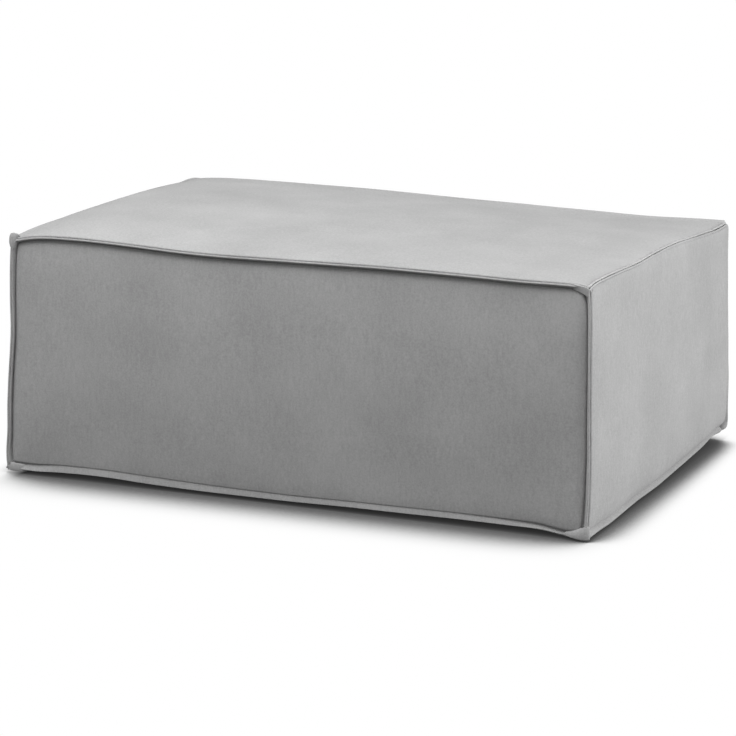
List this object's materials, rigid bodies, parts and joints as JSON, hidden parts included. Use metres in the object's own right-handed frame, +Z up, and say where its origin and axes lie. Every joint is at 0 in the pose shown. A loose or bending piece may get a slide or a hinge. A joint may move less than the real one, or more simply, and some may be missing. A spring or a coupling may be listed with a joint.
{
  "type": "ottoman coffee table",
  "caption": "Low rectangular box ottoman used as a coffee table, fully cloth covered, with a crowned top and standing flange seams along every edge.",
  "frame": {"origin": "on the floor under the middle of the ottoman, at the underside of the feet", "axes": "+X along the long side, to the right seen from the front; -Y is the front; +Z up"},
  "size_m": [1.086, 0.756, 0.4355],
  "materials": {
    "cover_cloth": "matte",
    "timber": "matte",
    "hardboard": "matte",
    "webbing": "matte",
    "felt": "matte",
    "foam": "matte",
    "wadding": "matte",
    "dust_cloth": "matte",
    "foot_plastic": "matte",
    "screw_steel": "satin"
  },
  "bodies": {
    "root": {"back_board": "hardboard", "back_bottom_rail": "timber", "back_cover_panel": "cover_cloth", "back_left_corner_block": "timber", "back_left_foot": "foot_plastic", "back_left_post": "timber", "back_middle_post": "timber", "back_pad": "foam", "back_right_corner_block": "timber", "back_right_foot": "foot_plastic", "back_right_post": "timber", "back_top_rail": "timber", "back_under_strip": "cover_cloth", "bottom_cross_rail": "timber", "cross_webbing_1": "webbing", "cross_webbing_2": "webbing", "cross_webbing_3": "webbing", "cross_webbing_4": "webbing", "cross_webbing_5": "webbing", "cross_webbing_6": "webbing", "cross_webbing_7": "webbing", "dust_cover": "dust_cloth", "foot_screws": "screw_steel", "front_board": "hardboard", "front_bottom_rail": "timber", "front_cover_panel": "cover_cloth", "front_left_corner_block": "timber", "front_left_foot": "foot_plastic", "front_left_post": "timber", "front_middle_post": "timber", "front_pad": "foam", "front_right_corner_block": "timber", "front_right_foot": "foot_plastic", "front_right_post": "timber", "front_top_rail": "timber", "front_under_strip": "cover_cloth", "left_board": "hardboard", "left_bottom_rail": "timber", "left_cover_panel": "cover_cloth", "left_pad": "foam", "left_top_rail": "timber", "left_under_strip": "cover_cloth", "long_webbing_1": "webbing", "long_webbing_2": "webbing", "long_webbing_3": "webbing", "long_webbing_4": "webbing", "right_board": "hardboard", "right_bottom_rail": "timber", "right_cover_panel": "cover_cloth", "right_pad": "foam", "right_top_rail": "timber", "right_under_strip": "cover_cloth", "seat_felt": "felt", "seat_foam": "foam", "seat_wadding": "wadding", "top_cover_panel": "cover_cloth"}
  },
  "joints": []
}
